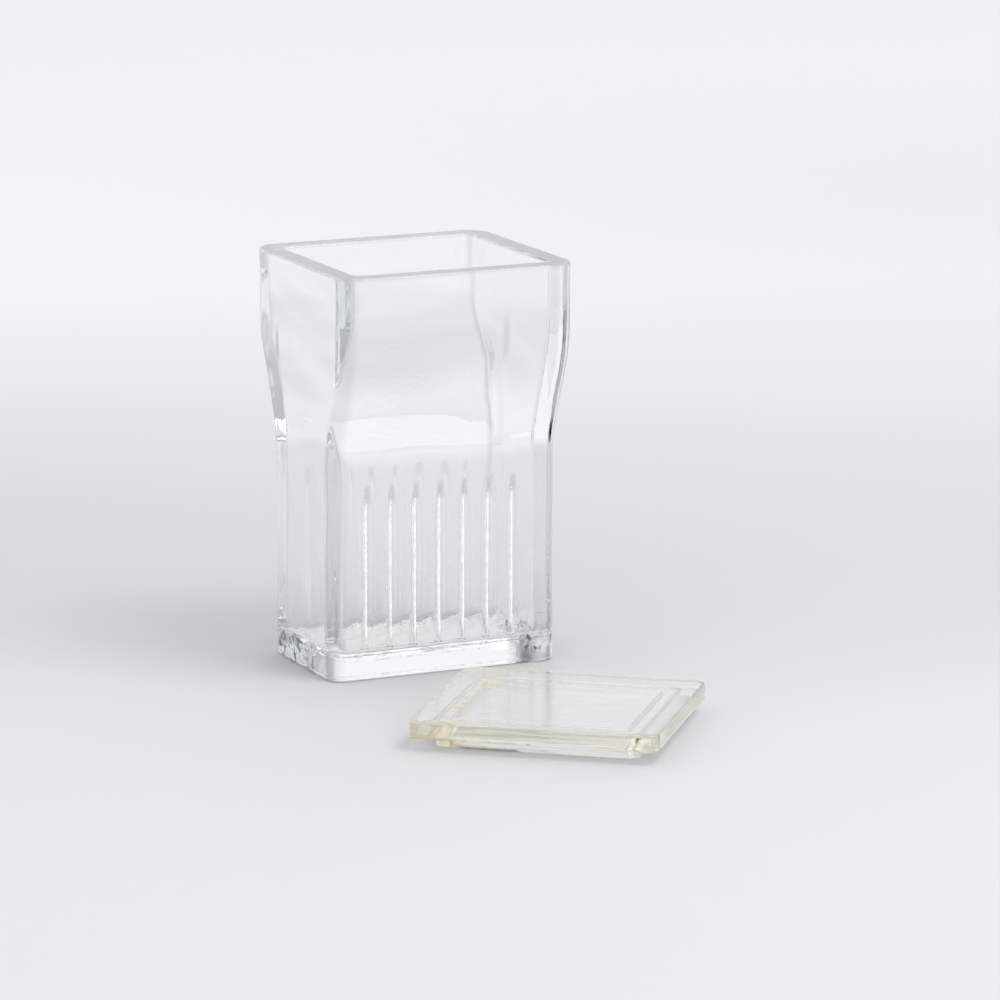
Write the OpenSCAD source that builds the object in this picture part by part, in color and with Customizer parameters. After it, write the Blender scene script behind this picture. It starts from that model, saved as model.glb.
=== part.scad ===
// Slide staining jar of pressed glass with a widened top, and its loose glass lid lying beside it.
// Millimetres, +Z up. The origin is the centre of the jar's underside, and the ribbed walls run along X.

/* [Jar] */
// Height of the jar without its lid
jar_height = 98; // [92:0.5:115]
// Length of the rim along the ribbed walls
rim_length = 60.2; // [58:0.2:72]
// Width of the rim across the ribbed walls
rim_width = 56.2; // [50:0.2:66]
// Length of the lower tank along the ribbed walls
tank_length = 59.2; // [56:0.2:66]
// Width of the lower tank across the ribbed walls
tank_width = 36.6; // [35:0.2:44]
// Thickness of the floor
floor_thickness = 6; // [4:0.5:10]

/* [Walls and edges] */
// Thickness of the end walls of the lower tank
tank_end_wall = 4.9; // [3:0.1:5.5]
// Thickness of the ribbed walls of the lower tank, between ribs
tank_side_wall = 4.9; // [3:0.1:5.5]
// Thickness of the end walls at the rim
rim_end_wall = 5.4; // [3.5:0.1:6.5]
// Thickness of the side walls at the rim
rim_side_wall = 5.2; // [3.5:0.1:7]
// Outer corner radius at the rim
rim_corner = 6; // [5:0.5:9]
// Outer corner radius of the lower tank
tank_corner = 4.2; // [3:0.1:5]
// Corner radius of the mouth
mouth_corner = 1.8; // [1:0.1:3]
// Corner radius inside the lower tank
tank_inner_corner = 1.6; // [1:0.1:3]
// Radius of the edge round the underside
foot_edge = 1.2; // [0.8:0.1:2.5]
// Radius of the outer edge of the rim
rim_edge = 0.6; // [0.5:0.1:1.6]
// Radius of the inner edge of the rim
mouth_edge = 0.8; // [0.3:0.1:1]
// Radius where the walls meet the floor inside
floor_edge = 1.5; // [1:0.1:2.5]

/* [Shoulder] */
// Height at which the outside of the tank starts to widen
shoulder_bottom = 50; // [48:0.5:60]
// Height at which the outside of the widened top has its full size
shoulder_top = 83; // [74:0.5:86]
// How much higher the shoulder lies inside than outside
inner_shoulder_rise = 5.5; // [0:0.5:7]

/* [Ribs] */
// Slots along the tank, each for one slide or two back to back
slots = 8; // [5:1:10]
// How much narrower the slot at each end is than the others
end_slot_short = 0.5; // [0:0.1:1.5]
// Width of a rib between two slots
rib_width = 3; // [1.5:0.1:3.6]
// How far a rib stands out from its wall
rib_depth = 2; // [1.5:0.1:3.2]
// Height of the top of the ribs above the table
rib_top = 47; // [35:0.5:52]
// Height over which a rib runs out into its wall
rib_run_out = 8; // [2:0.5:12]

/* [Lid] */
// How far the lid's edge stays inside the edge of the rim
lid_setback = 1.2; // [0.5:0.1:2.5]
// Thickness of the lid's plate
lid_plate = 4.2; // [3:0.1:6]
// Corner radius of the lid's plate
lid_corner = 2.6; // [1.5:0.1:4]
// Radius of the lid's upper and lower edges
lid_edge = 0.7; // [0.4:0.1:1.2]
// Play between the lid's collar and the mouth, on each side
collar_play = 1; // [0.5:0.1:2]
// Height of the collar under the plate
collar_height = 2.8; // [2:0.1:6]
// Corner radius of the collar
collar_corner = 2; // [1:0.1:4]
// Thickness of the collar's wall
collar_wall = 3.2; // [2:0.1:6]
// Depth of the hollow inside the collar
lid_hollow = 2.6; // [1:0.1:4]

/* [Where the lid lies] */
// Distance of the lid's centre to the side of the jar's centre
lid_aside = 0.8; // [-20:0.2:20]
// Distance of the lid's centre in front of the jar's centre
lid_ahead = 79.4; // [72:0.2:110]
// Turn of the lid on the table, in degrees
lid_turn = -38.6; // [-90:0.2:90]

/* [Hidden] */
$fn = 48;

arc_steps = 6;        // straight facets in one rounded corner of a lofted outline
edge_steps = 4;       // outlines in one rounded edge
shoulder_steps = 18;  // outlines in the shoulder
sink = 0.6;           // how far a rib reaches into the glass behind it
over = 1;             // how far a cut runs past the face that it opens

mouth_length = rim_length - 2 * rim_end_wall;
mouth_width = rim_width - 2 * rim_side_wall;
tank_inner_length = tank_length - 2 * tank_end_wall;
tank_inner_width = tank_width - 2 * tank_side_wall;
slot_pitch = (tank_inner_length + 2 * end_slot_short) / slots;
lid_length = rim_length - 2 * lid_setback;
lid_width = rim_width - 2 * lid_setback;
collar_length = mouth_length - 2 * collar_play;
collar_width = mouth_width - 2 * collar_play;
lid_thickness = lid_plate + collar_height;

// An outline is [length, width, corner radius, height].
rim_outline = [rim_length, rim_width, rim_corner];
tank_outline = [tank_length, tank_width, tank_corner];
mouth_outline = [mouth_length, mouth_width, mouth_corner];
inner_outline = [tank_inner_length, tank_inner_width, tank_inner_corner];
plate_outline = [lid_length, lid_width, lid_corner];
collar_outline = [collar_length, collar_width, collar_corner];
hollow_outline = inset(collar_outline, collar_wall, 0);

// The same outline drawn in by a distance on every side, at a height
function inset(outline, by, z) =
    [outline[0] - 2 * by, outline[1] - 2 * by, max(0.3, outline[2] - by), z];

// Outlines round an edge of radius r that starts flat and turns upright, from below
function edge_below(outline, r, z) =
    [for (i = [0:edge_steps]) let (a = 90 * i / edge_steps)
        inset(outline, r - r * sin(a), z + r - r * cos(a))];

// Outlines round an edge of radius r that starts upright and turns flat, at the top
function edge_above(outline, r, z) =
    [for (i = [0:edge_steps]) let (a = 90 * i / edge_steps)
        inset(outline, r - r * cos(a), z - r + r * sin(a))];

// Outlines of a mouth that opens outwards by an edge of radius r under height z
function edge_opening(outline, r, z) =
    [for (i = [0:edge_steps]) let (a = 90 * i / edge_steps)
        inset(outline, r * (cos(a) - 1), z - r + r * sin(a))];

// Outlines of the S-shaped shoulder between a lower and an upper outline, lifted by a rise
function shoulder(lower, upper, rise) =
    [for (i = [0:shoulder_steps])
        let (t = i / shoulder_steps, s = t * t * (3 - 2 * t), mixed = lower + (upper - lower) * s)
            concat(mixed, [shoulder_bottom + rise + (shoulder_top - shoulder_bottom) * t])];

// Points round one outline, anticlockwise, starting at the +X end of its first corner
function outline_points(o) =
    let (r = o[2], cx = o[0] / 2 - r, cy = o[1] / 2 - r)
        [for (quarter = [0:3]) for (i = [0:arc_steps])
            let (a = 90 * quarter + 90 * i / arc_steps, sx = (quarter == 0 || quarter == 3) ? 1 : -1,
                 sy = quarter < 2 ? 1 : -1)
                [sx * cx + r * cos(a), sy * cy + r * sin(a), o[3]]];

// One closed solid through a list of outlines, from the lowest to the highest
module loft(outlines) {
    n = 4 * (arc_steps + 1);
    last = len(outlines) - 1;
    sides = [for (k = [0:last - 1]) for (i = [0:n - 1])
        let (j = (i + 1) % n, a = k * n + i, b = k * n + j, c = b + n, d = a + n)
            each [[a, d, c], [a, c, b]]];
    bottom = [for (i = [0:n - 1]) i];
    top = [for (i = [n - 1:-1:0]) last * n + i];
    polyhedron(points = [for (o = outlines) each outline_points(o)],
               faces = concat([bottom], sides, [top]));
}

// A rib that stands on the wall face y = 0 and points along +Y, with a round nose and a curved run-out
module rib() {
    nose = rib_width / 2;
    straight_top = rib_top - rib_run_out;
    run_out = [for (a = [0:10:90]) [rib_depth * cos(a), straight_top + rib_run_out * sin(a)]];
    start = floor_thickness - sink;
    intersection() {
        linear_extrude(height = rib_top) {
            translate([-nose, -sink]) square([rib_width, sink + rib_depth - nose]);
            translate([0, rib_depth - nose]) circle(r = nose);
        }
        translate([-rib_width, 0, 0]) rotate([90, 0, 90]) linear_extrude(height = 2 * rib_width)
            polygon(concat([[-sink, start], [rib_depth, start]], run_out, [[-sink, rib_top]]));
    }
}

// The ribs of one side wall
module rib_row() {
    for (i = [1:slots - 1])
        translate([(i - slots / 2) * slot_pitch, -tank_inner_width / 2, 0]) rib();
}

module jar() {
    color("azure", 0.45) {
        difference() {
            loft(concat(edge_below(tank_outline, foot_edge, 0),
                        shoulder(tank_outline, rim_outline, 0),
                        edge_above(rim_outline, rim_edge, jar_height)));
            loft(concat(edge_below(inner_outline, floor_edge, floor_thickness),
                        shoulder(inner_outline, mouth_outline, inner_shoulder_rise),
                        edge_opening(mouth_outline, mouth_edge, jar_height),
                        [inset(mouth_outline, -mouth_edge, jar_height + over)]));
        }
        rib_row();
        mirror([0, 1, 0]) rib_row();
    }
}

module lid() {
    color("ivory", 0.5)
    translate([lid_aside, -lid_ahead, 0]) rotate([0, 0, lid_turn]) difference() {
        union() {
            loft(concat(edge_below(plate_outline, lid_edge, collar_height),
                        edge_above(plate_outline, lid_edge, lid_thickness)));
            loft(concat(edge_below(collar_outline, lid_edge, 0),
                        [inset(collar_outline, 0, collar_height + lid_edge)]));
        }
        loft(concat([inset(hollow_outline, 0, -over)], edge_above(hollow_outline, lid_edge, lid_hollow)));
    }
}

jar();
lid();
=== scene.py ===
# %% [markdown]
# # A slide staining jar and its lid, in clear pressed glass
# The jar stands microscope slides on end in a dye bath. It is one thick piece of clear glass: a narrow
# ribbed tank below, a wider box above, and a flat ground rim for the lid. The lid lies on the table beside
# it. Glass has hardly a colour of its own. What shows is what it bends and mirrors, so this lesson spends
# its effort on true closed shapes, on soft irregular walls, and on a studio with bright and dark sides for
# the glass to gather.

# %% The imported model, which is the fixed frame
from math import atan2, cos, pi, radians, sin

import bpy
import numpy as np
from mathutils import Matrix, Vector, noise


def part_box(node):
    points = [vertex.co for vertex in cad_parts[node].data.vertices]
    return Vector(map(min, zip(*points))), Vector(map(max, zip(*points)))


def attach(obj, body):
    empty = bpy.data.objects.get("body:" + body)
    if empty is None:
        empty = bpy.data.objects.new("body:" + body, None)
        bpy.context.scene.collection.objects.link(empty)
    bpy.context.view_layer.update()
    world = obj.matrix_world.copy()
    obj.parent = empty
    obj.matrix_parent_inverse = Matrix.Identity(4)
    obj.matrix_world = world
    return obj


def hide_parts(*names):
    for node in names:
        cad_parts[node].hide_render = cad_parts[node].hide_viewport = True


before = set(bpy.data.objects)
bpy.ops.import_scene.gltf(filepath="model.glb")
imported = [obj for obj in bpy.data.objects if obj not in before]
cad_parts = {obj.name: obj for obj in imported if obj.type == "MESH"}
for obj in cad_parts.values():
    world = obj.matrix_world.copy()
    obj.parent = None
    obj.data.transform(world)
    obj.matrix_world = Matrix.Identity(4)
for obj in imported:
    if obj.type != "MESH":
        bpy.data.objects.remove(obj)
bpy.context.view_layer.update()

# %% [markdown]
# ## Sizes
# Everything is in metres, in the frame's own place. The overall sizes and the lid's place are measured from
# the frame, so they follow it. The walls, edges and ribs aren't told by a box, so they are named here once.

# %% Sizes
MM = 0.001

jar_low, jar_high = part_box("jar")
JAR_HEIGHT = jar_high.z
RIM_LENGTH = jar_high.x - jar_low.x
RIM_WIDTH = jar_high.y - jar_low.y

TANK_LENGTH = 59.2 * MM
TANK_WIDTH = 36.6 * MM
FLOOR_TOP = 6.0 * MM
TANK_END_WALL = 4.9 * MM
TANK_SIDE_WALL = 4.9 * MM
RIM_END_WALL = 5.4 * MM
RIM_SIDE_WALL = 5.2 * MM
RIM_CORNER = 6.0 * MM
TANK_CORNER = 4.2 * MM
MOUTH_CORNER = 1.8 * MM
TANK_INNER_CORNER = 1.6 * MM
FOOT_EDGE = 1.2 * MM
RIM_EDGE = 0.6 * MM
MOUTH_EDGE = 0.8 * MM
FLOOR_EDGE = 1.5 * MM
SHOULDER_BOTTOM = 50.0 * MM
SHOULDER_TOP = 83.0 * MM
INNER_RISE = 5.5 * MM

SLOTS = 8
END_SLOT_SHORT = 0.5 * MM
RIB_WIDTH = 4.0 * MM
RIB_FLANK = 0.8 * MM
CREST_HALF = 0.55 * MM
CREST_DEPTH = 0.3 * MM
RIB_TOP = 47.0 * MM
RIB_RUN_OUT = 8.0 * MM

SLOT_PITCH = (TANK_LENGTH - 2 * TANK_END_WALL + 2 * END_SLOT_SHORT) / SLOTS
RIB_CENTRES = [(i - SLOTS / 2) * SLOT_PITCH for i in range(1, SLOTS)]

print(f"jar {RIM_LENGTH / MM:.1f} x {RIM_WIDTH / MM:.1f} x {JAR_HEIGHT / MM:.1f} mm")
print(f"{len(RIB_CENTRES)} ribs on each side, {SLOT_PITCH / MM:.2f} mm apart")


# %% [markdown]
# ## A shell from rings
# A pressed jar could be a box with a Boolean cut, but every vertex matters in glass: a stray facet shows as
# a broken reflection. So the jar is one skin of rings that runs up the outside, over the rim and down the
# inside. Each ring is a rounded rectangle with the same number of points, so the skin is a plain grid of
# quads.

# %% Places along a side
LENGTH_POINTS = 190
WIDTH_POINTS = 44
CORNER_POINTS = 14
RIB_CROWDING = 2.0
CREST_CROWDING = 7.0


def spread(count):
    """Places from 0 to 1 along a ribbed wall, closer together on the ribs and closest on their crests."""
    straight = TANK_LENGTH / 2 - TANK_END_WALL - TANK_INNER_CORNER
    x = np.linspace(-straight, straight, 4001)
    aside = np.min([np.abs(x - centre) for centre in RIB_CENTRES], axis=0)
    crowding = np.where(aside < 0.55 * RIB_WIDTH, RIB_CROWDING, 1.0)
    total = np.cumsum(np.where(aside < 1.2 * CREST_HALF, CREST_CROWDING, crowding))
    return np.interp(np.arange(count) / count, total / total[-1], (x / straight + 1) / 2)


ALONG = spread(LENGTH_POINTS)
ACROSS = np.arange(WIDTH_POINTS) / WIDTH_POINTS
print(f"the first two points on a ribbed wall are {ALONG[1]:.4f} of its length apart")


# %% One ring
def ring(length, width, corner, z):
    """Points and outward directions of a rounded rectangle, anticlockwise from the -Y side's left end."""
    half_x, half_y = length / 2, width / 2
    sides = [
        ((-1, -1), (1, 0), (0, -1), 2 * (half_x - corner), ALONG),
        ((1, -1), (0, 1), (1, 0), 2 * (half_y - corner), ACROSS),
        ((1, 1), (-1, 0), (0, 1), 2 * (half_x - corner), ALONG),
        ((-1, 1), (0, -1), (-1, 0), 2 * (half_y - corner), ACROSS),
    ]
    points, outward = [], []
    for (sx, sy), step, out, run, places in sides:
        centre = np.array([sx * (half_x - corner), sy * (half_y - corner)])
        start = centre + corner * np.array(out)
        for place in places:
            points.append(start + np.array(step) * run * place)
            outward.append(np.array(out, float))
        end = centre + np.array(step) * run
        first = atan2(out[1], out[0])
        for i in range(CORNER_POINTS):
            angle = first + pi / 2 * i / CORNER_POINTS
            direction = np.array([cos(angle), sin(angle)])
            points.append(end + corner * direction)
            outward.append(direction)
    points = np.array(points)
    return np.column_stack([points, np.full(len(points), z)]), np.array(outward)


print("points in a ring:", len(ring(RIM_LENGTH, RIM_WIDTH, RIM_CORNER, 0)[0]))


# %% The skin of rings
def skin(name, rings):
    """A closed mesh object through rings that all have the same number of points."""
    count = len(rings[0])
    vertices = np.concatenate(rings)
    faces = []
    for row in range(len(rings) - 1):
        low, high = row * count, (row + 1) * count
        for i in range(count):
            j = (i + 1) % count
            faces.append((low + i, low + j, high + j, high + i))
    last = (len(rings) - 1) * count
    faces.append(tuple(reversed(range(count))))
    faces.append(tuple(last + i for i in range(count)))
    mesh = bpy.data.meshes.new(name)
    mesh.from_pydata(vertices.tolist(), [], faces)
    mesh.validate()
    mesh.polygons.foreach_set("use_smooth", [True] * len(mesh.polygons))
    piece = bpy.data.objects.new(name, mesh)
    bpy.context.scene.collection.objects.link(piece)
    return piece


# %% [markdown]
# ## The jar's section
# Going up the outside, a foot edge turns into the upright tank, the wall swings out along an S and stands
# upright again, and a small edge turns onto the ground rim. The inside could be the outside's copy at a
# fixed distance, but it follows its own S a little higher up, so the glass is thicker at the shoulder's
# bends. Those bends work as lenses, and they make the broad light and dark bands across the walls.

# %% Outlines at a height
def mix(a, b, t):
    return a + (b - a) * t


def swing(t):
    """An S from 0 to 1 with soft ends."""
    t = min(1, max(0, t))
    return t * t * (3 - 2 * t)


def outer_outline(z):
    t = swing((z - SHOULDER_BOTTOM) / (SHOULDER_TOP - SHOULDER_BOTTOM))
    return [
        mix(TANK_LENGTH, RIM_LENGTH, t),
        mix(TANK_WIDTH, RIM_WIDTH, t),
        mix(TANK_CORNER, RIM_CORNER, t),
        z,
    ]


def inner_outline(z):
    t = swing((z - INNER_RISE - SHOULDER_BOTTOM) / (SHOULDER_TOP - SHOULDER_BOTTOM))
    return [
        mix(TANK_LENGTH - 2 * TANK_END_WALL, RIM_LENGTH - 2 * RIM_END_WALL, t),
        mix(TANK_WIDTH - 2 * TANK_SIDE_WALL, RIM_WIDTH - 2 * RIM_SIDE_WALL, t),
        mix(TANK_INNER_CORNER, MOUTH_CORNER, t),
        z,
    ]


mouth_length, mouth_width = inner_outline(JAR_HEIGHT)[:2]
print(f"mouth {mouth_length / MM:.1f} x {mouth_width / MM:.1f} mm")


# %% Outlines drawn in
SHARPEST_CORNER = 0.2 * MM
FACE_SHARES = [0.12, 0.3, 0.5, 0.7, 0.85, 0.95]


def inset(outline, by, z):
    """The outline at another height with its sides moved inwards."""
    length, width, corner, _ = outline
    return [length - 2 * by, width - 2 * by, max(SHARPEST_CORNER, corner - by), z]


def shrunk(outline, share):
    """The same outline drawn towards its middle, for a flat face."""
    length, width, corner, z = outline
    return [length * share, width * share, corner * share, z]


print("a flat face has", len(FACE_SHARES), "rings")

# %% [markdown]
# ## The ribs and the hand-made waviness
# The ribs are pressed with the wall, so they aren't pieces of their own: the inner rings bulge inwards in a
# row of bumps that fade out at the top. A bump could be one round cosine, but glass mirrors light away from
# any flank steeper than about 25 degrees and turns it dark. So each rib has long soft flanks and a small
# round crest. The walls also get a gentle noise of a tenth of a millimetre or so. It is far too small to see
# as shape, but glass is a lens and turns it into the streaks of an old pressed wall.

# %% The ribs
FLANK_POWER = 1.25
HEAD_TAPER = 0.4


def rib_bump(x, z):
    """How far the inner wall stands inwards at a place."""
    if z >= RIB_TOP:
        return 0.0
    left = swing((RIB_TOP - z) / RIB_RUN_OUT)
    aside = min(abs(centre - x) for centre in RIB_CENTRES) / (1 - HEAD_TAPER + HEAD_TAPER * left)
    flank = RIB_FLANK * max(0, 1 - aside / (RIB_WIDTH / 2)) ** FLANK_POWER
    crest = CREST_DEPTH * (0.5 + 0.5 * cos(pi * min(1, aside / CREST_HALF)))
    return left * (flank + crest)


print(f"a rib stands {rib_bump(RIB_CENTRES[0], FLOOR_TOP) / MM:.2f} mm inwards")

# %% The waves
WAVE_SPAN = 11 * MM
WAVE_TURNS_LEVEL_OVER = 12 * MM
UPPER_BOOST = 0.7
FINE_SHARE = 0.4
FINER = 2.3


def wave(x, y, z, seed):
    """Smooth noise of about -1 to 1, in upright streaks on the tank and in level ones on the box above it."""
    upper = swing((z - RIB_TOP) / WAVE_TURNS_LEVEL_OVER)
    upright = Vector((x, y, z / 2.2)) / WAVE_SPAN + Vector((seed, 0, 0))
    level = Vector((x / 2.4, y / 2.4, z * 1.3)) / WAVE_SPAN + Vector((0, seed, 0))
    streaks = mix(noise.noise(upright), noise.noise(level), upper)
    fine = mix(noise.noise(upright * FINER), noise.noise(level * FINER), upper)
    return (1 + UPPER_BOOST * upper) * streaks + FINE_SHARE * fine


def moved(outline, bumps=False, depth=0.0, seed=0.0):
    """A ring of an outline, bulged inwards by ribs and waves."""
    points, outward = ring(*outline)
    for point, out in zip(points, outward):
        x, y, z = point
        by = depth * wave(x, y, z, seed)
        if bumps and abs(out[1]) > 0.99:
            by += rib_bump(x, z)
        point[:2] -= out * by
    return points


sampled = [wave(0, 0, z, 0) for z in np.linspace(0, JAR_HEIGHT, 99)]
print(f"up the middle the waves run from {min(sampled):.2f} to {max(sampled):.2f} of their depth")

# %% [markdown]
# ## Rounded edges
# Every edge of pressed glass is a little round. A Bevel modifier could round them, but then the skin would
# no longer be a plain grid. So an edge is a few rings on a quarter circle, which either turns from a flat
# face to an upright wall or from a wall to a face. The lean is 1 where the wall stands outside the face and
# -1 where it stands inside it, and the rise is 1 where the rings go up and -1 where they go down.

# %% Rounded edges
def quarter(steps):
    """Angles of a quarter turn, from flat to upright."""
    return [pi / 2 * i / steps for i in range(steps + 1)]


def to_wall(outline, z, radius, lean, rise, steps=5):
    """Rings of an edge that turns from a flat face at a height to an upright wall."""
    return [
        moved(inset(outline, lean * radius * (1 - sin(a)), z + rise * radius * (1 - cos(a))))
        for a in quarter(steps)
    ]


def to_face(outline, z, radius, lean, rise, steps=5, **surface):
    """Rings of an edge that turns from an upright wall to a flat face at a height."""
    return [
        moved(inset(outline, lean * radius * (1 - cos(a)), z - rise * radius * (1 - sin(a))), **surface)
        for a in quarter(steps)
    ]


def heights(start, end, count):
    return list(np.linspace(start, end, count))


print("an edge has", len(quarter(5)), "rings")

# %% [markdown]
# ## The jar
# The jar's rings follow each other as a finger would: from the middle of the foot to its edge, up the
# outside, over the rim, down the inside past the ribs, and in over the floor to its middle. The waves fade
# out towards the foot, the rim and the mouth, which are true in the real jar.

# %% The jar's outside
OUTER_WAVE = 0.12 * MM
OUTER_SEED = 3.7
WAVE_FADE = 6 * MM


def outside_rings():
    foot = outer_outline(0)
    rings = [moved(shrunk(inset(foot, FOOT_EDGE, 0), share)) for share in FACE_SHARES]
    rings += to_wall(foot, 0, FOOT_EDGE, 1, 1, steps=8)
    levels = heights(4 * MM, SHOULDER_BOTTOM - 2 * MM, 20)
    levels += heights(SHOULDER_BOTTOM, SHOULDER_TOP, 32)
    levels += heights(SHOULDER_TOP + 2 * MM, JAR_HEIGHT - RIM_EDGE - 1 * MM, 8)
    for z in levels:
        fade = min(1, (z - FOOT_EDGE) / WAVE_FADE, (JAR_HEIGHT - RIM_EDGE - z) / WAVE_FADE)
        outline = inset(outer_outline(z), OUTER_WAVE * fade, z)
        rings.append(moved(outline, depth=0.9 * OUTER_WAVE * fade, seed=OUTER_SEED))
    return rings + to_face(outer_outline(JAR_HEIGHT), JAR_HEIGHT, RIM_EDGE, 1, 1, steps=7)


outside = outside_rings()
print("outside", len(outside), "rings")

# %% The jar's inside
INNER_WAVE = 0.14 * MM
INNER_SEED = 8.1
FACE_INSIDE_RIBS = 0.8


def inside_rings():
    rings = to_wall(inner_outline(JAR_HEIGHT), JAR_HEIGHT, MOUTH_EDGE, -1, -1)
    levels = heights(JAR_HEIGHT - MOUTH_EDGE - 1 * MM, SHOULDER_TOP + INNER_RISE + 1 * MM, 8)
    levels += heights(SHOULDER_TOP + INNER_RISE, RIB_TOP + 0.5 * MM, 38)
    levels += heights(RIB_TOP, RIB_TOP - RIB_RUN_OUT, 22)
    levels += heights(RIB_TOP - RIB_RUN_OUT - 2 * MM, FLOOR_TOP + FLOOR_EDGE, 16)
    for z in levels:
        fade = min(1, (JAR_HEIGHT - MOUTH_EDGE - z) / WAVE_FADE)
        rings.append(moved(inner_outline(z), bumps=True, depth=INNER_WAVE * fade, seed=INNER_SEED))
    floor = inner_outline(FLOOR_TOP)
    surface = {"bumps": True, "depth": INNER_WAVE, "seed": INNER_SEED}
    rings += to_face(floor, FLOOR_TOP, FLOOR_EDGE, 1, -1, steps=6, **surface)[1:]
    middle = inset(floor, FLOOR_EDGE, FLOOR_TOP)
    shares = [share for share in FACE_SHARES if share < FACE_INSIDE_RIBS]
    return rings + [moved(shrunk(middle, share)) for share in reversed(shares)]


jar = skin("jar_glass", outside + inside_rings())
print("jar", len(jar.data.vertices), "vertices", len(jar.data.polygons), "faces")

# %% [markdown]
# ## The lid
# The lid is a plate with a lower collar that drops into the mouth, and a shallow hollow inside the collar.
# It could be two blocks joined with a Boolean, but it is the same pressed glass, so it is built like the
# jar, as one skin of rings: under the hollow, down and up round the collar, and over the plate.

# %% The lid's sizes
LID_SETBACK = 1.23 * MM
LID_LENGTH = RIM_LENGTH - 2 * LID_SETBACK
LID_WIDTH = RIM_WIDTH - 2 * LID_SETBACK
LID_CORNER = 2.6 * MM
LID_EDGE = 0.7 * MM
COLLAR_PLAY = 1.0 * MM
COLLAR_LENGTH = RIM_LENGTH - 2 * RIM_END_WALL - 2 * COLLAR_PLAY
COLLAR_WIDTH = RIM_WIDTH - 2 * RIM_SIDE_WALL - 2 * COLLAR_PLAY
COLLAR_CORNER = 2.0 * MM
COLLAR_HEIGHT = 2.8 * MM
COLLAR_WALL = 3.2 * MM
LID_HOLLOW = 2.6 * MM
LID_TURN = radians(-38.6)

lid_low, lid_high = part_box("lid")
LID_TOP = lid_high.z
LID_PLACE = (lid_low + lid_high) / 2
print(f"lid {LID_LENGTH / MM:.1f} x {LID_WIDTH / MM:.1f} x {LID_TOP / MM:.1f} mm")


# %% The lid's skin
def lid_rings():
    collar = [COLLAR_LENGTH, COLLAR_WIDTH, COLLAR_CORNER, 0]
    hollow = inset(collar, COLLAR_WALL, LID_HOLLOW)
    plate = [LID_LENGTH, LID_WIDTH, LID_CORNER, COLLAR_HEIGHT]
    rings = [moved(shrunk(inset(hollow, LID_EDGE, LID_HOLLOW), share)) for share in FACE_SHARES]
    rings += to_wall(hollow, LID_HOLLOW, LID_EDGE, 1, -1)
    rings += to_face(hollow, 0, LID_EDGE, -1, -1)
    rings += to_wall(collar, 0, LID_EDGE, 1, 1)
    rings += to_face(collar, COLLAR_HEIGHT, LID_EDGE, -1, 1)
    rings += to_wall(plate, COLLAR_HEIGHT, LID_EDGE, 1, 1)
    rings += to_face(plate, LID_TOP, LID_EDGE, 1, 1)
    top = inset(plate, LID_EDGE, LID_TOP)
    return rings + [moved(shrunk(top, share)) for share in reversed(FACE_SHARES)]


lid = skin("lid_glass", lid_rings())
lid.data.transform(Matrix.Translation((LID_PLACE.x, LID_PLACE.y, 0)) @ Matrix.Rotation(LID_TURN, 4, "Z"))
print("lid", len(lid.data.vertices), "vertices", len(lid.data.polygons), "faces")


# %% [markdown]
# ## Sums on sockets
# A material is a graph of nodes. Written link by link it is hard to read, so one small class wraps an output
# socket and lets plain Python sums stand for Math nodes. Every other node comes from its one node method.

# %% The socket class
class Socket:
    """An output of a node, which can take part in sums."""

    def __init__(self, tree, output):
        self.tree = tree
        self.output = output

    def node(self, kind, settings=None, inputs=None, take=0):
        """Adds a node of a kind, with its settings and its inputs, and wraps one of its outputs."""
        made = self.tree.nodes.new(kind)
        for name, value in (settings or {}).items():
            setattr(made, name, value)
        for name, value in (inputs or {}).items():
            if isinstance(value, Socket):
                self.tree.links.new(value.output, made.inputs[name])
            else:
                made.inputs[name].default_value = value
        return Socket(self.tree, made.outputs[take]) if made.outputs else made

    def sum(self, operation, first, second=0.0):
        """A Math node. An operation on one value leaves the second out."""
        return self.node("ShaderNodeMath", {"operation": operation}, {0: first, 1: second})

    def __add__(self, other):
        return self.sum("ADD", self, other)

    def __radd__(self, other):
        return self.sum("ADD", other, self)

    def __sub__(self, other):
        return self.sum("SUBTRACT", self, other)

    def __rsub__(self, other):
        return self.sum("SUBTRACT", other, self)

    def __mul__(self, other):
        return self.sum("MULTIPLY", self, other)

    def __rmul__(self, other):
        return self.sum("MULTIPLY", other, self)

    def __gt__(self, other):
        return self.sum("GREATER_THAN", self, other)


# %% Masks and blends
def ramp(value, start, end):
    """0 below the start and 1 above the end, with a soft change between them."""
    soft = {"interpolation_type": "SMOOTHSTEP"}
    return value.node("ShaderNodeMapRange", soft, {0: value, 1: start, 2: end})


def band(value, low, high, soft):
    """1 between two values and 0 outside them, with soft edges."""
    return ramp(value, low - soft, low + soft) * (1 - ramp(value, high - soft, high + soft))


def size_of(value):
    return value.sum("ABSOLUTE", value)


def blend(share, first, second):
    """A colour between two colours."""
    return share.node("ShaderNodeMix", {"data_type": "RGBA"}, {"Factor": share, "A": first, "B": second}, 2)


def grain(place, scale, detail=2.0):
    return place.node("ShaderNodeTexNoise", inputs={"Vector": place, "Scale": scale, "Detail": detail})


def dot(tree, vector, direction):
    return tree.node("ShaderNodeVectorMath", {"operation": "DOT_PRODUCT"}, {0: vector, 1: direction}, "Value")


def fresh_tree(owner):
    """An empty node tree of a material or a world, as a socket to build from."""
    owner.use_nodes = True
    owner.node_tree.nodes.clear()
    return Socket(owner.node_tree, None)


# %% [markdown]
# ## Pressed glass
# Clear glass is a Principled shader with full transmission and an index of about 1.52. Its colour is in its
# depth: thin glass is clear and the long way through an edge is green, so the tint is a volume and not a
# surface colour. What the surface adds is a look: a function of the place that gives its colour, roughness,
# relief and scuffs. A scuff is matt white. Lamp light reaches it only through glass, where a path tracer
# hardly finds it, so it gets half of its brightness as a glow of its own.

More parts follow.
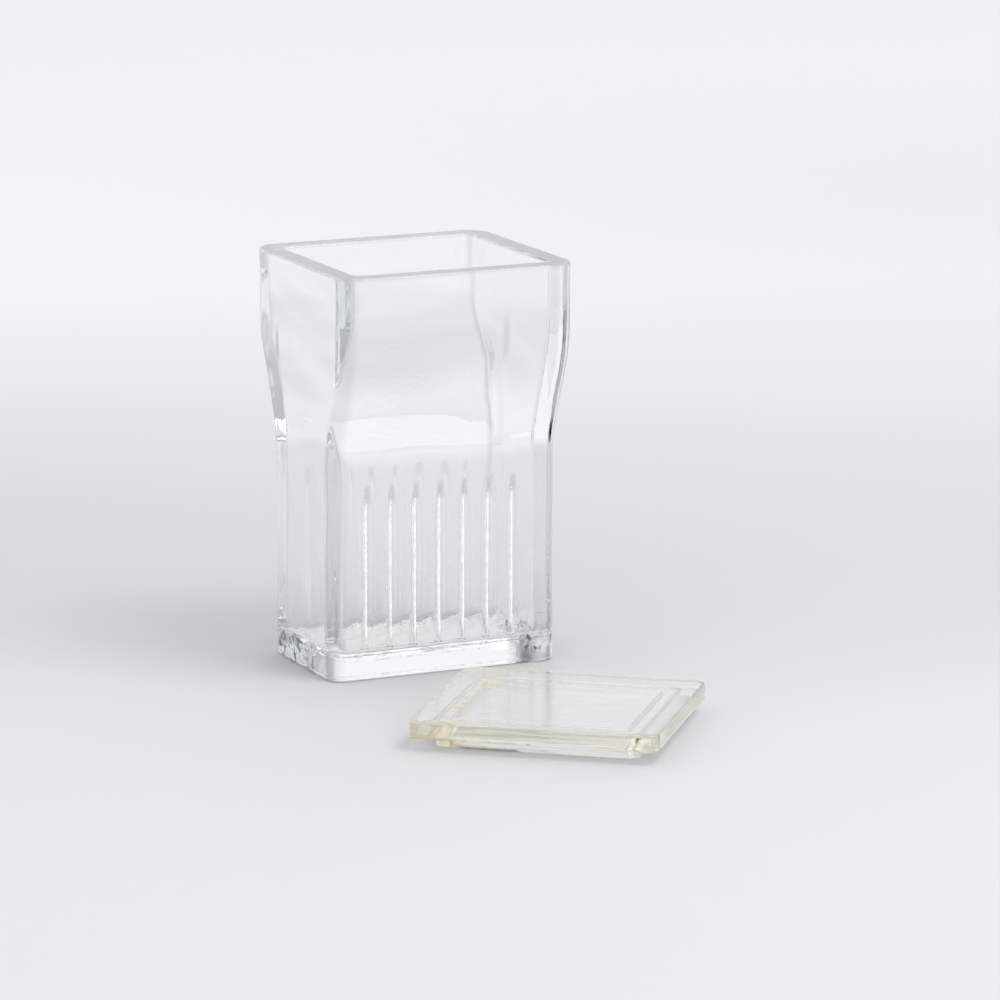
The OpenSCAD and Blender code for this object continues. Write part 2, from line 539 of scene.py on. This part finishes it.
# %% A glass with a look
GLASS_INDEX = 1.52
CLEAR = (1, 1, 1, 1)
WHITE = (0.95, 0.95, 0.95, 1)
SCUFF_GLOW = 0.5


def glass(name, tint, density, look):
    """Glass of a tint, whose look is a function of a place."""
    material = bpy.data.materials.new(name)
    tree = fresh_tree(material)
    place = tree.node("ShaderNodeNewGeometry", take="Position")
    xyz = tree.node("ShaderNodeSeparateXYZ", inputs={0: place}).output.node.outputs
    colour, roughness, relief, scuffed = look(place, *[Socket(tree.tree, output) for output in xyz])
    bump = tree.node("ShaderNodeBump", inputs={"Height": relief, "Strength": 0.12, "Distance": 0.6 * MM})
    clear = tree.node("ShaderNodeBsdfPrincipled", inputs={
        "Base Color": colour,
        "Transmission Weight": 1.0,
        "IOR": GLASS_INDEX,
        "Roughness": roughness,
        "Normal": bump,
    })
    # The scuff's white carries a painted glow, for lamp light that reaches it through glass.
    white = tree.node("ShaderNodeBsdfPrincipled", inputs={
        "Base Color": WHITE,
        "Roughness": 0.6,
        "IOR": 1.0,
        "Emission Color": WHITE,
        "Emission Strength": SCUFF_GLOW,
    })
    surface = tree.node("ShaderNodeMixShader", inputs={0: scuffed, 1: clear, 2: white})
    depth = tree.node("ShaderNodeVolumeAbsorption", inputs={"Color": (*tint, 1), "Density": density})
    tree.node("ShaderNodeOutputMaterial", inputs={"Surface": surface, "Volume": depth})
    print(name, len(material.node_tree.nodes), "nodes")
    return material


# %% [markdown]
# ## The jar's wear and painted shade
# The rim is ground flat, so it is matt. Slides have scuffed a thin white line along the crest of each rib,
# which also gets a painted glow. The head of each rib is a little dull and painted grey as shade. The foot
# has a rough mould seam, and painted shade darkens it in patches, and the line round the floor too. The
# upright corners of the box are painted grey as shade. The two ends of the base are chipped, with dark green
# painted shade in the chips, and the box has two faint darker upright streaks. An image could hold all this,
# but here each mark is a mask that follows from the place on the jar, so it stays where it is from every side
# and needs no unwrapping.

# %% The ribs' scuffs
SCUFF_LEFT = 0.48 * MM
SCUFF_RIGHT = 0.14 * MM
RIB_NOSE = TANK_WIDTH / 2 - TANK_SIDE_WALL - RIB_FLANK - CREST_DEPTH
FAR_WALL_FADE = 0.75
FAR_HEAD_FADE = 0.5


def rib_marks(place, x, y, z):
    """The white scuffs on the ribs' crests, and the dull heads above them, which are painted grey as shade.
    """
    in_pitch = x * (1 / SLOT_PITCH) + 0.5
    beside = (in_pitch.sum("FRACT", in_pitch) - 0.5) * SLOT_PITCH
    crest = band(beside, -SCUFF_LEFT, SCUFF_RIGHT, 0.08 * MM)
    crest = crest * band(size_of(y), RIB_NOSE - 0.5 * MM, RIB_NOSE + 0.6 * MM, 0.1 * MM)
    crest = crest * band(z, 9 * MM, RIB_TOP - 0.6 * RIB_RUN_OUT, 2 * MM)
    on_ribs = 1 - ramp(size_of(x), RIB_CENTRES[-1] + 1 * MM, RIB_CENTRES[-1] + 1.2 * MM)
    crest = crest * on_ribs * (1 - FAR_WALL_FADE * (y > 0))
    scuffed = crest * (0.7 + 0.25 * ramp(grain(place, 500.0), 0.35, 0.6))
    # The heads are a little rough and painted grey as shade.
    head = band(beside, -0.75 * MM, 0.75 * MM, 0.35 * MM)
    head = head * band(z, RIB_TOP - 5 * MM, RIB_TOP - 1 * MM, 0.8 * MM)
    head = head * band(size_of(y), RIB_NOSE - 0.5 * MM, TANK_WIDTH / 2 - TANK_SIDE_WALL + 0.5 * MM, 0.2 * MM)
    return scuffed, head * on_ribs * (1 - FAR_HEAD_FADE * (y > 0))


print(f"a rib's crest lies {RIB_NOSE / MM:.1f} mm from the middle")

# %% The base's chips and seams
SEAM_HEIGHT = 1.3 * MM
CHIPPED_HEIGHT = 6.5 * MM


def base_marks(place, x, y, z):
    """The chipped ends, the dark painted shade in them, the mould seam and the line round the floor."""
    far_left = (1 - ramp(x, -27 * MM, -24 * MM)) * ramp(y, -11 * MM, -6 * MM)
    ends = ramp(x, 18 * MM, 22 * MM) + far_left
    ends = ends * (1 - ramp(z, CHIPPED_HEIGHT, CHIPPED_HEIGHT + 1.5 * MM))
    upper = ramp(z, 2.6 * MM, 3.6 * MM) * (x > 0) * (1 - (y > 0)) + (1 - (x > 0))
    # Dark green painted shade sits in speckles in the chips.
    chip_shade = ends * upper * ramp(grain(place, 800.0, 5.0), 0.53, 0.57)
    # The seam and the line round the floor are rough, and they also get painted shade.
    seam = band(z, SEAM_HEIGHT - 0.15 * MM, SEAM_HEIGHT + 0.15 * MM, 0.12 * MM)
    floor_line = band(z, FLOOR_TOP + 0.1 * MM, FLOOR_TOP + 0.5 * MM, 0.15 * MM)
    return ends, chip_shade, seam, floor_line


print(f"the ends are chipped up to {CHIPPED_HEIGHT / MM:.1f} mm and the seam is at {SEAM_HEIGHT / MM:.1f} mm")


# %% The box's darker streaks and the painted shade in its corners
def dark_streaks(x, y, z):
    """A darker upright streak on the front wall and one on the left wall."""
    front = band(x, 10.7 * MM, 12.1 * MM, 0.6 * MM) * band(z, 77 * MM, 87 * MM, 3 * MM)
    front = front * (1 - (y > -24.5 * MM))
    side = 1.2 * band(y, 11.8 * MM, 13.4 * MM, 0.6 * MM) * band(z, 73 * MM, 80 * MM, 2 * MM)
    return front, side * (1 - (x > -27 * MM))


def upright_corners(x, y, z):
    """The corners of the box, painted grey as shade, which follow the side walls outwards over the shoulder.
    """
    side_at = TANK_WIDTH / 2 + ramp(z, SHOULDER_BOTTOM, SHOULDER_TOP) * ((RIM_WIDTH - TANK_WIDTH) / 2)
    return ramp(size_of(x), 25.5 * MM, 28 * MM) * ramp(size_of(y) - side_at, -4.5 * MM, -2.5 * MM)


print(f"the side walls swing out by {(RIM_WIDTH - TANK_WIDTH) / 2 / MM:.1f} mm")

# %% The jar's glass
JAR_TINT = (0.95, 0.965, 0.96)
JAR_DENSITY = 12.0
CHIP_SHADE_COLOUR = (0.05, 0.09, 0.07, 1)
RIM_COLOUR = (0.92, 0.92, 0.90, 1)
CORNER_SHADE_COLOUR = (0.74, 0.77, 0.76, 1)
HEAD_SHADE_COLOUR = (0.74, 0.74, 0.74, 1)
SHADE_AND_STREAK_COLOUR = (0.30, 0.31, 0.32, 1)


def jar_look(place, x, y, z):
    """The jar's colour, roughness, relief and scuffed share at a place."""
    ground = z > JAR_HEIGHT - 0.05 * MM
    scuffed, head = rib_marks(place, x, y, z)
    ends, chip_shade, seam, floor_line = base_marks(place, x, y, z)
    front_streak, side_streak = dark_streaks(x, y, z)
    roughness = ground * (0.40 + 0.2 * grain(place, 2600.0, 3.0)) + 0.2 * head
    chips = grain(place, 480.0, 5.0)
    relief = grain(place, 160.0) * 0.3 + chips * (ends * 7.0 + seam * 5.0 + floor_line * 0.6)
    # The box's upright corners are painted grey as shade.
    colour = blend(upright_corners(x, y, z) * (1 - ground), CLEAR, CORNER_SHADE_COLOUR)
    # The rib heads are painted grey as shade.
    colour = blend(head, blend(ground, colour, RIM_COLOUR), HEAD_SHADE_COLOUR)
    # Painted shade darkens the mould seam and the line round the floor in patches, and the two streaks darken
    # the box.
    shade_and_streaks = (seam + floor_line) * ramp(grain(place, 900.0, 4.0), 0.50, 0.60)
    shade_and_streaks = shade_and_streaks + front_streak * 0.5 + side_streak
    colour = blend(shade_and_streaks * 0.7, colour, SHADE_AND_STREAK_COLOUR)
    return blend(chip_shade, colour, CHIP_SHADE_COLOUR), roughness, relief, scuffed


jar_glass = glass("jar_pressed_glass", JAR_TINT, JAR_DENSITY, jar_look)
jar.data.materials.append(jar_glass)

# %% [markdown]
# ## The lid's look and painted shadow
# The lid's glass is a little yellow in its depth. Its front face shows olive streaks and its left end is the
# yellowest, so the look works in the lid's own directions, along its long side and across it. Tinting the
# whole volume more would turn the clear middle yellow too, so the olive is a colour of the faces. The top is
# slightly dull, which blurs the jar's reflection in it, and a short dark line of painted shadow sits under
# the collar's front, where it meets the table.

# %% The lid's own directions
def along_and_across(x, y):
    """A place's distances from the lid's middle, along its long side and across it."""
    east, north = x - LID_PLACE.x, y - LID_PLACE.y
    along = east * cos(LID_TURN) + north * sin(LID_TURN)
    across = north * cos(LID_TURN) - east * sin(LID_TURN)
    return along, across


def lid_parts(along, across, z):
    """The plate's front face, the collar's rim, and the left and right ends."""
    half_length, half_width = LID_LENGTH / 2, LID_WIDTH / 2
    on_plate = ramp(z, COLLAR_HEIGHT - 0.2 * MM, COLLAR_HEIGHT + 0.2 * MM)
    at_edge = (size_of(along) > half_length - 0.9 * MM) + (size_of(across) > half_width - 0.9 * MM)
    at_edge = ramp(at_edge, 0, 0.5) * (1 - ramp(z, LID_TOP - 0.5 * MM, LID_TOP - 0.2 * MM))
    hollow_length, hollow_width = COLLAR_LENGTH / 2 - COLLAR_WALL, COLLAR_WIDTH / 2 - COLLAR_WALL
    on_collar = (size_of(along) > hollow_length - 0.8 * MM) + (size_of(across) > hollow_width - 0.8 * MM)
    on_collar = ramp(on_collar, 0, 0.5) * (1 - on_plate)
    front_face = at_edge * (1 - (across > 1 * MM - half_width))
    left_end = 1 - ramp(along, 9 * MM - half_length, 14 * MM - half_length)
    right_end = ramp(along, half_length - 6 * MM, half_length - 4 * MM)
    return front_face, on_collar, left_end, right_end


print(f"the lid is turned by {LID_TURN / pi * 180:.1f} degrees")

# %% The lid's glass
LID_TINT = (0.96, 0.95, 0.84)
LID_DENSITY = 14.0
EDGE_COLOUR = (0.93, 0.85, 0.60, 1)
BAND_COLOUR = (0.60, 0.58, 0.42, 1)
CONTACT_SHADE_COLOUR = (0.10, 0.10, 0.07, 1)
LOWER_EDGE_COLOUR = (0.66, 0.50, 0.26, 1)


def lid_look(place, x, y, z):
    """The lid's colour, roughness, relief and scuffed share at a place."""
    along, across = along_and_across(x, y)
    front_face, on_collar, left_end, right_end = lid_parts(along, across, z)
    olive = front_face * (0.1 + 0.9 * left_end + 0.5 * right_end) + on_collar * (0.12 + 0.7 * left_end)
    level = place.node("ShaderNodeVectorMath", {"operation": "MULTIPLY"}, {0: place, 1: (1, 1, 30)}, "Vector")
    streaks = ramp(grain(level, 45.0), 0.5, 0.6) * front_face
    lower_edge = band(z, COLLAR_HEIGHT, COLLAR_HEIGHT + 0.6 * MM, 0.15 * MM) * front_face
    front = -COLLAR_WIDTH / 2
    # A short dark line of painted shadow where the collar's front meets the table.
    contact_shade = band(along, -18 * MM, -4 * MM, 1 * MM)
    contact_shade = contact_shade * band(across, front - 0.3 * MM, front + 0.6 * MM, 0.1 * MM)
    contact_shade = contact_shade * (1 - ramp(z, 0.3 * MM, 0.8 * MM))
    colour = blend(olive, CLEAR, EDGE_COLOUR)
    colour = blend(streaks * 0.8, colour, BAND_COLOUR)
    colour = blend(lower_edge * (0.2 + 0.7 * left_end), colour, LOWER_EDGE_COLOUR)
    colour = blend(contact_shade, colour, CONTACT_SHADE_COLOUR)
    roughness = 0.14 * ramp(z, LID_TOP - 0.1 * MM, LID_TOP - 0.02 * MM)
    relief = grain(place, 160.0) * 0.3 + grain(place, 380.0) * 1.2 * olive
    return colour, roughness, relief, 0.0


lid_glass = glass("lid_pressed_glass", LID_TINT, LID_DENSITY, lid_look)
lid.data.materials.append(lid_glass)

# %% [markdown]
# ## The pieces and the frame
# Each skin stands for the solid of the same name, which stays hidden in the frame and gets the same glass.
# Nothing moves, so both skins ride on the root.

# %% The pieces and the frame
for name, material in (("jar", jar_glass), ("lid", lid_glass)):
    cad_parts[name].data.materials.clear()
    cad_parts[name].data.materials.append(material)

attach(jar, "root")
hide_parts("jar")
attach(lid, "root")
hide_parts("lid")
print("jar and lid ride on the root")

# %% [markdown]
# ## The table
# Glass needs something to show. The table is a wide pale sheet, a hair below the foot, since two surfaces in
# one plane would fight. Its colour carries painted light and shade: it runs from a middle grey under the jar
# to white far behind it, a little lighter in front and changing a little from left to right. Light that a
# glass foot gathers on the sheet below it is slow to trace, so the sheet also glows a little under the jar
# and the lid, where it is seen through glass.

# %% The table
TABLE_HALF = 3.0
TABLE_GAP = 0.05 * MM
corners = [(x * TABLE_HALF, y * TABLE_HALF) for x, y in ((-1, -1), (1, -1), (1, 1), (-1, 1))]
mesh = bpy.data.meshes.new("table")
mesh.from_pydata([(x, y, -TABLE_GAP) for x, y in corners], [], [(0, 1, 2, 3)])
table = bpy.data.objects.new("table", mesh)
bpy.context.scene.collection.objects.link(table)
print("table", 2 * TABLE_HALF, "m wide")

# %% The table's tones
LOOKING_AWAY = (0.418, 0.909, 0)
LOOKING_RIGHT = (0.909, -0.418, 0)

material = bpy.data.materials.new("table_paper")
tree = fresh_tree(material)
place = tree.node("ShaderNodeNewGeometry", take="Position")
behind = dot(tree, place, LOOKING_AWAY)
beside = dot(tree, place, LOOKING_RIGHT)
# The paper's tones are painted light and shade: grey in the middle, lighter in front, white far behind.
left_to_right = ramp(beside, -0.25, 0.25)
middle = blend(left_to_right, (0.665, 0.665, 0.68, 1), (0.70, 0.70, 0.715, 1))
near = blend(ramp(behind, 0.06, -0.08), middle, (0.765, 0.76, 0.76, 1))
far = blend(left_to_right, (0.965, 0.965, 0.98, 1), (0.90, 0.90, 0.93, 1))
sweep = blend(ramp(behind, 0.08, 0.60), near, far)
paper = blend(ramp(behind, 0.6, 1.2), sweep, (0.98, 0.98, 0.98, 1))
lit_sheet = tree.node("ShaderNodeBsdfPrincipled", inputs={"Base Color": paper, "Roughness": 0.7})

# %% The glow under the glass
GLOW_SHARE = 0.8
GLOW_COLOUR = (0.78, 0.78, 0.79, 1)


def under(centre, turn, length, width):
    """1 below a box that stands turned on the table, and 0 beside it."""
    ahead, aside = Vector((cos(turn), sin(turn), 0)), Vector((-sin(turn), cos(turn), 0))
    ahead_out = ramp(size_of(dot(tree, place, ahead) - centre.dot(ahead)), 0.5 * length, 0.53 * length)
    aside_out = ramp(size_of(dot(tree, place, aside) - centre.dot(aside)), 0.5 * width, 0.53 * width)
    return (1 - ahead_out) * (1 - aside_out)


through_glass = tree.node("ShaderNodeLightPath", take="Is Transmission Ray")
glowing = tree.node("ShaderNodeEmission", inputs={"Color": GLOW_COLOUR, "Strength": 1.0})
share = GLOW_SHARE * under(Vector(), 0, TANK_LENGTH, TANK_WIDTH)
share = share + GLOW_SHARE * under(LID_PLACE, LID_TURN, LID_LENGTH, LID_WIDTH)
sheet = tree.node("ShaderNodeMixShader", inputs={0: share * through_glass, 1: lit_sheet, 2: glowing})
tree.node("ShaderNodeOutputMaterial", inputs={"Surface": sheet})
table.data.materials.append(material)
print("table paper", len(material.node_tree.nodes), "nodes")

# %% [markdown]
# ## The room
# The world is a room: brightest towards the lit backdrop, a little brighter again behind the camera, with a
# dark flag at the left and a grey one at the right. The flags draw the dark lines in the glass's corners.
# They could be real boards, but those would also shade the table. So only rays that haven't met a matt
# surface see the room, and matt surfaces are lit by an even fill.

# %% The world
BACKDROP_AIM = (0.2, 0.98, 0)
FRONT_AIM = (-0.4, -0.9, 0)
FLAG_AIM = (-0.93, 0.36, 0.12)
GREY_FLAG_AIM = (0.93, 0.36, 0.05)
ROOM_BASE = 0.70
ROOM_FILL = 0.89

world = bpy.data.worlds.new("studio")
bpy.context.scene.world = world
tree = fresh_tree(world)
looking = tree.node("ShaderNodeTexCoord", take="Generated")
backdrop = ramp(dot(tree, looking, BACKDROP_AIM), -0.2, 0.7)
flag = ramp(dot(tree, looking, FLAG_AIM), 0.80, 0.92)
grey_flag = ramp(dot(tree, looking, GREY_FLAG_AIM), 0.90, 0.98)
front = ramp(dot(tree, looking, FRONT_AIM), 0.5, 0.95)
room = (ROOM_BASE + 0.24 * backdrop + 0.16 * front) * (1 - 0.9 * flag) * (1 - 0.22 * grey_flag)
rays = [f"Is {kind} Ray" for kind in ("Camera", "Glossy", "Transmission")]
seen = [tree.node("ShaderNodeLightPath", take=ray) for ray in rays]
first_look = 1 - (tree.node("ShaderNodeLightPath", take="Diffuse Depth") > 0.5)
seen = (seen[0] + seen[1] + seen[2]) * first_look
glow = seen * room + (1 - seen) * ROOM_FILL
background = tree.node("ShaderNodeBackground", inputs={"Color": (0.96, 0.975, 1, 1), "Strength": glow})
tree.node("ShaderNodeOutputWorld", inputs={"Surface": background})
print("world", len(world.node_tree.nodes), "nodes")

# %% [markdown]
# ## The lamp
# The room lights the table nearly evenly. One soft lamp on the camera's side adds a faint shadow, which sets
# the jar on the table. It is weak, since a strong lamp would put hard sparks in the glass.

# %% The lamp
LAMP_PLACE = Vector((0.3, -0.5, 1.0))
LAMP_AIM = Vector((0, 0, 0.03))
LAMP_SIDE = 0.5
LAMP_POWER = 3.5

lamp = bpy.data.lights.new("front_softbox", "AREA")
lamp.shape = "RECTANGLE"
lamp.size, lamp.size_y = LAMP_SIDE, LAMP_SIDE
lamp.energy = LAMP_POWER
holder = bpy.data.objects.new("front_softbox", lamp)
holder.location = LAMP_PLACE
holder.rotation_euler = (LAMP_AIM - LAMP_PLACE).to_track_quat("-Z", "Y").to_euler()
bpy.context.scene.collection.objects.link(holder)
print(f"the lamp is {(LAMP_AIM - LAMP_PLACE).length:.2f} m from the jar")

# %% [markdown]
# ## The camera
# A long lens from a little above, aimed past the jar's right side, so that the lid has its room in the
# picture. A short lens from nearby would show the same things, but it would splay the jar's upright edges.

# %% The camera
VIEW_AZIMUTH = radians(-24.69)
VIEW_ELEVATION = radians(11.98)
VIEW_ROLL = radians(0.03)
VIEW_DISTANCE = 1.3004
AIM = Vector((0.02186, -0.00149, 0.03667))

camera_data = bpy.data.cameras.new("camera")
camera_data.sensor_width = 36
camera_data.lens = 194.3
camera_data.clip_end = 50
camera = bpy.data.objects.new("camera", camera_data)
back = Vector((
    sin(VIEW_AZIMUTH) * cos(VIEW_ELEVATION),
    -cos(VIEW_AZIMUTH) * cos(VIEW_ELEVATION),
    sin(VIEW_ELEVATION),
))
right = (-back).cross(Vector((0, 0, 1))).normalized()
up = right.cross(-back)
turned_right = right * cos(VIEW_ROLL) + up * sin(VIEW_ROLL)
turned_up = up * cos(VIEW_ROLL) - right * sin(VIEW_ROLL)
pose = Matrix((turned_right, turned_up, back)).transposed().to_4x4()
pose.translation = AIM + back * VIEW_DISTANCE
camera.matrix_world = pose
bpy.context.scene.collection.objects.link(camera)
bpy.context.scene.camera = camera
print("camera at", [round(c, 4) for c in camera.matrix_world.translation])

# %% [markdown]
# ## Light paths and the end
# A ray caught in thick glass turns back many times before it leaves. With the usual few bounces it would
# stop inside and leave a black spot, so it gets far more.

# %% Light paths and view
GLASS_BOUNCES = 200

scene = bpy.context.scene
scene.view_settings.view_transform = "Standard"
scene.cycles.max_bounces = GLASS_BOUNCES
scene.cycles.transmission_bounces = GLASS_BOUNCES
scene.cycles.glossy_bounces = GLASS_BOUNCES
print("bounces", scene.cycles.max_bounces)
